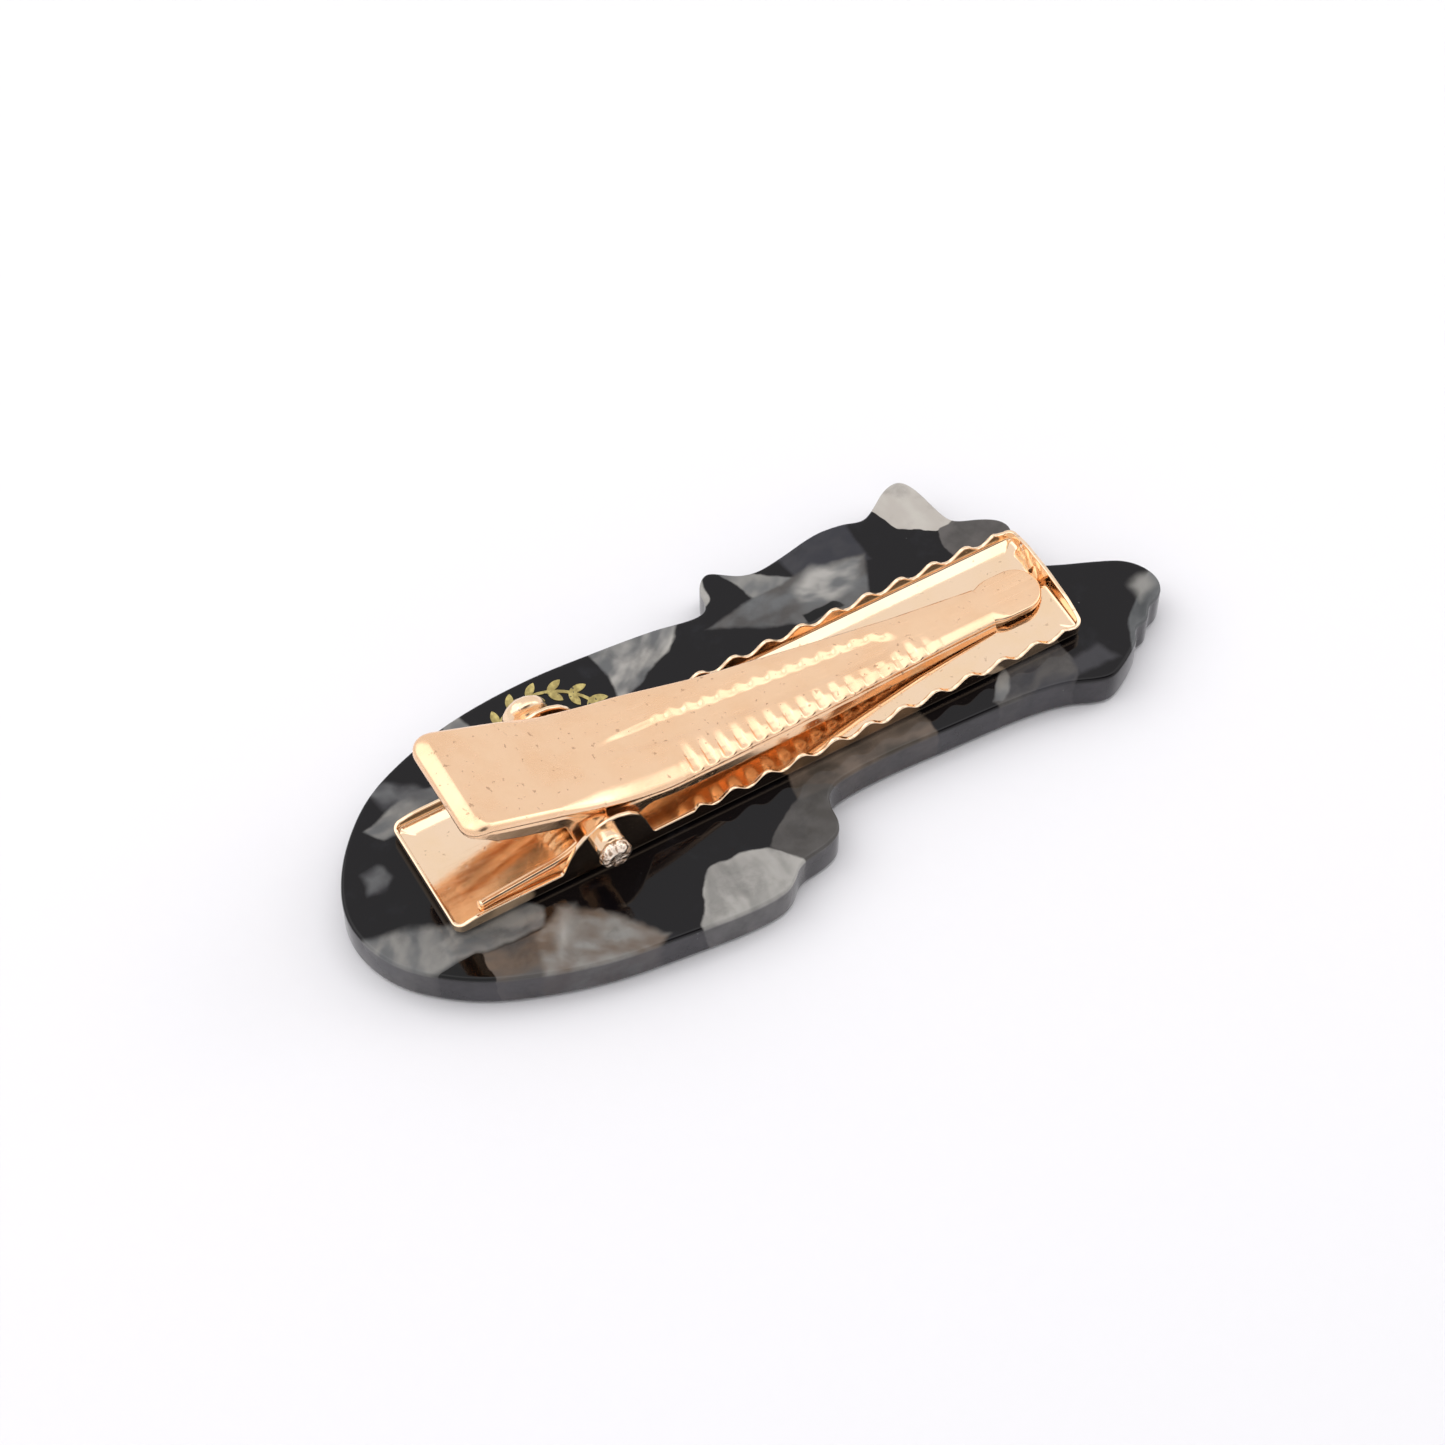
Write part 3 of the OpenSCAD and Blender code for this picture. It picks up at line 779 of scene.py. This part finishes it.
def flange_depths(edge, bend_end):
    """How far the edge hangs below the bend, from the CAD's lower edge, and 1 where that is a flange."""
    depth = []
    for p, (i, _) in zip(bend_end, edge.loop):
        x = max(p[0], lever_low[0] + 0.25)
        out_y = max(abs(p[1]) + splay(p[0]) - LEVER_SHEET / 2, 0.0)
        y = math.copysign(out_y, p[1]) if i else p[1] * 0.85
        hit = probe("lever_jaw", (x, y, back_z - 1.0), (0, 0, 1))
        depth.append(0.0 if hit is None or p[0] > FLANGE_END + 0.2 else max(p[2] - hit[2], 0.0))
    depth = np.array(depth)
    depth = smooth_row(np.concatenate([depth[-3:], depth, depth[:3]]), 3)[3:-3]
    flanged = smoothstep(0.15, 0.35, depth) * (1 - edge.backwards)
    depth *= 1 - 0.7 * edge.backwards
    return np.maximum(depth, np.maximum(LEVER_SHEET - edge.down_reach, 0.1)), flanged


def flange_rows(edge, start, bend_end):
    """Rows of points down the flange, round its lower edge and back to the underside."""
    depth, flanged = flange_depths(edge, bend_end)
    inward = edge.inward
    standing_out = splay(edge.plan[:, 0]) / depth

    def lowered(place, drop):
        place = place.copy()
        place[:, 2] -= drop
        return place - inward * (standing_out * drop)[:, None]

    # a fine crease where the flange starts, the flat flange and its rounded lower edge
    rows = [lowered(bend_end + inward * (0.12 * flanged)[:, None], 0.05 * depth)]
    rows += [lowered(bend_end, depth * share) for share in (0.12, 0.3, 0.5, 0.7, 0.85)]
    round_edge = np.minimum(0.05, 0.3 * depth)
    wall = np.interp(edge.plan[:, 0], [FLANGE_END - 0.6, FLANGE_END + 0.3], [0.38, 0.1])[:, None]
    rows.append(lowered(bend_end, depth - round_edge))
    rows.append(lowered(bend_end + inward * 0.03, depth))
    rows.append(lowered(bend_end + inward * (wall - 0.03), depth))
    rows.append(lowered(bend_end + inward * wall, depth - round_edge))
    # the underside, one sheet below the top
    under_reach = np.maximum(edge.out_reach - wall[:, 0] - 0.02, 0.02) * (1 - 0.5 * edge.backwards)
    rows.append(start - edge.up * LEVER_SHEET + edge.out * under_reach[:, None])
    return rows


def build_lever():
    """A pressed strip with rolled edges, which are wide and low along the jaw and tight on the tab."""
    stations, widths = lever_stations()
    points, rows = pressed_top(stations, widths)
    faces = []
    for a, b in zip(rows, rows[1:]):
        faces += [[a[j], b[j], b[j + 1], a[j + 1]] for j in range(LEVER_COLUMNS)]

    edge = LeverEdge(stations, widths)
    rings = [[rows[i][j] for i, j in edge.loop]]
    start = np.array([points[n] for n in rings[0]])
    rolled = rolled_rows(edge, start)
    for moved in rolled + flange_rows(edge, start, rolled[-1]):
        rings.append(list(range(len(points), len(points) + len(moved))))
        points.extend(moved)
    for a, b in zip(rings, rings[1:]):
        faces += strip_between(b, a, closed=True)

    first_under = len(points)
    for i, row in enumerate(rows):
        tilt = lever_slope(stations[i])
        drop = np.array([-tilt, 0, 1.0]) / math.hypot(tilt, 1) * LEVER_SHEET
        points.extend(points[n] - drop for n in row)
    below = [[n - rows[0][0] + first_under for n in row] for row in rows]
    for a, b in zip(below, below[1:]):
        faces += [[a[j + 1], b[j + 1], b[j], a[j]] for j in range(LEVER_COLUMNS)]
    faces += strip_between([below[i][j] for i, j in edge.loop], rings[-1], closed=True)
    return make_mesh("lever", points, faces, lever_metal, "lever", ["lever_jaw"])


build_lever()


# ---------------------------------------------------------------- pivot pin

def build_pin():
    """The rivet, turned from a profile: a beaten end on the near side and a domed head on the far side."""
    low, high = box("pivot_pin")
    head_r = (high[0] - low[0]) / 2
    shank_r, sides = 1.0, 72
    end, head_face = low[1], high[1]
    # radius, and distance from the beaten end
    beaten = [(0.0, 0.14), (0.2, 0.12), (0.4, 0.06), (0.6, 0.0), (0.8, 0.02), (0.98, 0.1), (1.06, 0.22),
              (1.09, 0.34), (1.1, 0.46), (1.09, 0.58), (1.06, 0.7), (0.97, 0.78), (0.88, 0.84),
              (0.87, 0.92), (0.93, 1.0), (0.99, 1.08), (shank_r, 1.3)]
    # radius, and distance from the head's face
    domed = [(shank_r, 1.85), (head_r - 0.3, 1.75), (head_r - 0.08, 1.62), (head_r, 1.45), (head_r, 1.05),
             (head_r - 0.07, 0.86), (head_r - 0.35, 0.62), (head_r - 0.8, 0.42), (0.4, 0.34), (0.3, 0.24),
             (0.27, 0.06), (0.15, 0.0), (0.0, 0.0)]
    profile = [(r, end + away) for r, away in beaten] + [(shank_r, 0.0)]
    profile += [(r, head_face - away) for r, away in domed]
    points, rings = [], []
    for r, y in profile:
        ring = []
        for k in range(sides):
            turn = 2 * math.pi * k / sides
            radius, shift = r, 0.0
            if y < end + 0.75 and r > 0.2:
                petals = math.cos(5 * turn + 0.7 + 3 * y) + 0.6 * math.cos(11 * turn - 5 * y) - 0.6
                radius += 0.04 * petals * r
                shift = 0.05 * (1 + math.cos(3 * turn + 1.0)) * r + 0.03 * (1 + math.cos(9 * turn)) * r
            if abs(r - head_r) < 0.01:
                radius += 0.018 * math.cos(30 * turn)
            ring.append(len(points))
            points.append((PIVOT[0] + radius * math.cos(turn), y + shift,
                           PIVOT[2] + radius * math.sin(turn)))
        rings.append(ring)
    faces = []
    for a, b in zip(rings, rings[1:]):
        faces += strip_between(a, b, closed=True)
    pin = make_mesh("rivet_pin", points, faces, pin_metal, "clip_base", ["pivot_pin"])
    weld = pin.modifiers.new("weld", "WELD")
    weld.merge_threshold = 0.001 * MM
    return pin


build_pin()


# ---------------------------------------------------------------- spring

def build_spring():
    """One wire: lower leg on the tray's floor, coil on the pin, upper leg under the tab."""
    low, high = box("torsion_spring")
    wire_r, coil_r, turns = 0.3, 1.4, 9
    tip_at = np.array([low[0] + 0.05, low[1] + wire_r, low[2] + wire_r])
    coil_y = PIVOT[1] + high[1] - wire_r
    # the lower leg bends at its knee and runs on as a tangent to the coil
    knee = np.array([8.4, -coil_y - 0.315, back_z + 1.4])
    rel = knee[[0, 2]] - PIVOT[[0, 2]]
    first = math.atan2(rel[1], rel[0]) + math.acos(coil_r / np.linalg.norm(rel))
    leg_slope = math.radians(25.5)
    last = math.pi / 2 - leg_slope
    sweep = first - last + 2 * math.pi * turns
    steps = 30 * turns

    def on_coil(turn, y):
        return np.array([PIVOT[0] + coil_r * math.cos(turn), y, PIVOT[2] + coil_r * math.sin(turn)])

    start = on_coil(first, -coil_y)
    before, after = knee + (tip_at - knee) * 0.16, knee + (start - knee) * 0.35
    path = [tip_at + np.array([0.0, 0.0, 0.06])]
    path += [tip_at + (before - tip_at) * k / 8 + np.array([0.25, 0, 0]) * (k == 0) for k in range(9)]
    path += [before * (1 - s) ** 2 + 2 * knee * s * (1 - s) + after * s * s
             for s in (0.2, 0.4, 0.6, 0.8)]
    path += [after + (start - after) * k / 4 for k in range(4)]
    path += [on_coil(first - sweep * k / steps, coil_y * (2 * k / steps - 1)) for k in range(steps + 1)]
    leave = path[-1]
    leg = high[2] - wire_r - leave[2]
    for k in range(1, 13):
        path.append(leave + np.array([-leg / math.tan(leg_slope), 0, leg]) * k / 12)
    path = np.array(path)
    sides = 14
    points, rings = [], []
    for i, p in enumerate(path):
        d = path[min(i + 1, len(path) - 1)] - path[max(i - 1, 0)]
        d /= np.linalg.norm(d)
        u = np.cross(d, [0, 1, 0])
        u /= np.linalg.norm(u)
        v = np.cross(d, u)
        ring = []
        for k in range(sides):
            turn = 2 * math.pi * k / sides
            ring.append(len(points))
            points.append(p + wire_r * (math.cos(turn) * u + math.sin(turn) * v))
        rings.append(ring)
    faces = [rings[0], rings[-1][::-1]]
    for a, b in zip(rings, rings[1:]):
        faces += strip_between(b, a, closed=True)
    spring = make_mesh("spring_wire", points, faces, wire_metal, None, ["torsion_spring"])
    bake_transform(spring)
    return spring


build_spring()


# ---------------------------------------------------------------- stage, light and camera

def build_floor():
    """A sheet of white paper under the clip."""
    s = Shader("paper")
    fibre = s.noise(s.place, 900.0, 4.0)
    s.set(Base_Color=s.mix(fibre, (0.69, 0.681, 0.698, 1.0), (0.70, 0.691, 0.708, 1.0)), Roughness=0.9)
    size = 900.0
    points = [(-size, -size, 0), (size, -size, 0), (size, size, 0), (-size, size, 0)]
    floor = make_mesh("paper_floor", points, [[0, 1, 2, 3]], s.material)


GLOW = 0.75  # how bright the face of every softbox looks in polished metal
FILL_GAP = 3.0  # how far the unseen part of a softbox hangs above its face


def area_light(name, place, target, size, power, mirrored):
    """A rectangular light aimed at a target, which shows in polished metal only if mirrored."""
    light = bpy.data.lights.new(name, "AREA")
    light.shape = "RECTANGLE"
    light.size, light.size_y = size[0] * MM, size[1] * MM
    light.energy = power
    holder = bpy.data.objects.new(name, light)
    bpy.context.scene.collection.objects.link(holder)
    place, target = Vector(place) * MM, Vector(target) * MM
    holder.location = place
    holder.rotation_euler = (target - place).to_track_quat("-Z", "Y").to_euler()
    holder.visible_glossy = mirrored


def softbox(name, place, target, size, power):
    """A softbox of some power in watts, whose face doesn't burn out where the metal mirrors it."""
    seen = GLOW * math.pi * size[0] * size[1] * MM ** 2
    behind = (place[0], place[1], place[2] + FILL_GAP)
    area_light(name, place, target, size, seen, mirrored=True)
    area_light(name + "_fill", behind, target, size, power - seen, mirrored=False)


def build_world():
    """An even white tent with one dark patch, the opening that the camera looks through."""
    world = bpy.data.worlds.new("white_tent")
    world.use_nodes = True
    tree = world.node_tree
    sky = tree.nodes["Background"]
    sky.inputs["Color"].default_value = (0.99, 0.985, 1.0, 1.0)
    way = tree.nodes.new("ShaderNodeTexCoord")
    towards = tree.nodes.new("ShaderNodeVectorMath")
    towards.operation = "DOT_PRODUCT"
    towards.inputs[1].default_value = (0.17, -0.66, 0.73)
    fall = tree.nodes.new("ShaderNodeMapRange")
    fall.interpolation_type = "SMOOTHSTEP"
    fall.inputs["From Min"].default_value, fall.inputs["From Max"].default_value = 0.90, 0.96
    fall.inputs["To Min"].default_value, fall.inputs["To Max"].default_value = 0.93, 0.12
    tree.links.new(way.outputs["Generated"], towards.inputs[0])
    tree.links.new(towards.outputs["Value"], fall.inputs["Value"])
    tree.links.new(fall.outputs["Result"], sky.inputs["Strength"])
    bpy.context.scene.world = world


def build_camera():
    """A long lens looking down on the back of the clip from the near rear side."""
    azimuth, elevation, roll = math.radians(-30.111), math.radians(56.757), math.radians(0.197)
    distance, shift_x, shift_y = 272.09, 1.28, -2.287
    aim = np.array([23.0, 0.0, 0.0])
    back = np.array([math.sin(azimuth) * math.cos(elevation), -math.cos(azimuth) * math.cos(elevation),
                     math.sin(elevation)])
    right = np.array([math.cos(azimuth), math.sin(azimuth), 0.0])
    up = np.cross(back, right)
    right, up = (math.cos(roll) * right + math.sin(roll) * up,
                 math.cos(roll) * up - math.sin(roll) * right)
    place = (aim + distance * back - shift_x * right - shift_y * up) * MM
    data = bpy.data.cameras.new("camera")
    data.lens = 105.0
    data.sensor_width = 36.0
    data.clip_start, data.clip_end = 0.01, 10.0
    camera = bpy.data.objects.new("camera", data)
    bpy.context.scene.collection.objects.link(camera)
    rows = [[right[i], up[i], back[i], place[i]] for i in range(3)]
    camera.matrix_world = Matrix(rows + [[0, 0, 0, 1]])
    bpy.context.scene.camera = camera


build_floor()
build_world()
softbox("top_softbox", (50, 10, 300), (50, 10, 0), (420, 170), 0.42)
softbox("left_softbox", (-125, 135, 215), (20, 0, 0), (260, 220), 0.26)
softbox("front_softbox", (330, 20, 230), (13, 0, 9), (130, 130), 0.08)
softbox("right_softbox", (285, -50, 140), (20, 0, 0), (160, 160), 0.12)
build_camera()
bpy.context.scene.view_settings.view_transform = "Standard"
